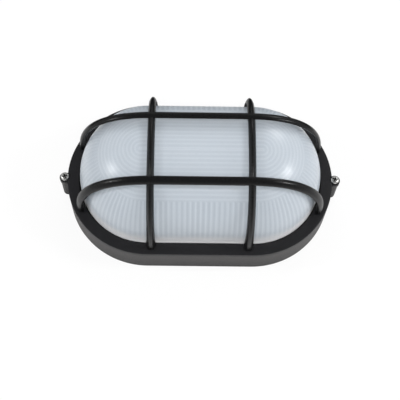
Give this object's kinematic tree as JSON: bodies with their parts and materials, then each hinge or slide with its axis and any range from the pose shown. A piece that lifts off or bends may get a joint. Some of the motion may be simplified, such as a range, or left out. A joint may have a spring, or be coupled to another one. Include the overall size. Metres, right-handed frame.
{
  "type": "bulkhead light",
  "caption": "Oval wall light: a die-cast body, a ribbed satin glass dome and a cast guard cage over it, held by a screw at each end.",
  "frame": {"origin": "middle of the wall plane, under the centre of the oval body", "axes": "+X along the oval's length, towards the lampholder end; +Z out of the wall, towards the cage; +Y across the body"},
  "size_m": [0.2814, 0.162, 0.1131],
  "materials": {
    "black_powder_coat": "satin black powder coat on die-cast aluminium",
    "satin_pressed_glass": "pressed glass with a satin finish, ribbed inside",
    "epdm_rubber": "moulded black rubber",
    "zinc_plated_steel": "bright zinc plate",
    "glazed_porcelain": "white glazed electrical porcelain",
    "nickel_plated_brass": "nickel plate",
    "brass": "turned brass",
    "opal_lamp_glass": "opal lamp glass",
    "natural_nylon": "moulded nylon",
    "brown_wire_insulation": "extruded insulation",
    "blue_wire_insulation": "extruded insulation",
    "green_wire_insulation": "extruded insulation"
  },
  "bodies": {
    "root": {"guard_frame": "black_powder_coat", "back_housing": "black_powder_coat", "glass_diffuser": "satin_pressed_glass", "upper_gasket": "epdm_rubber", "lower_gasket": "epdm_rubber", "cable_grommet": "epdm_rubber", "cover_screw_left": "zinc_plated_steel", "cover_screw_right": "zinc_plated_steel", "lampholder_body": "glazed_porcelain", "lampholder_shell": "nickel_plated_brass", "lampholder_contact": "nickel_plated_brass", "lampholder_bracket": "zinc_plated_steel", "bracket_screw_front": "zinc_plated_steel", "bracket_screw_back": "zinc_plated_steel", "holder_screw_front": "zinc_plated_steel", "holder_screw_back": "zinc_plated_steel", "lamp": "opal_lamp_glass", "terminal_block": "natural_nylon", "block_screw": "zinc_plated_steel", "terminal_insert_1": "brass", "terminal_insert_2": "brass", "terminal_insert_3": "brass", "terminal_screw_1": "brass", "terminal_screw_2": "brass", "terminal_screw_3": "brass", "terminal_screw_4": "brass", "terminal_screw_5": "brass", "terminal_screw_6": "brass", "earth_screw": "zinc_plated_steel", "earth_washer": "zinc_plated_steel", "wire_live": "brown_wire_insulation", "wire_neutral": "blue_wire_insulation", "wire_earth": "green_wire_insulation"}
  },
  "joints": []
}
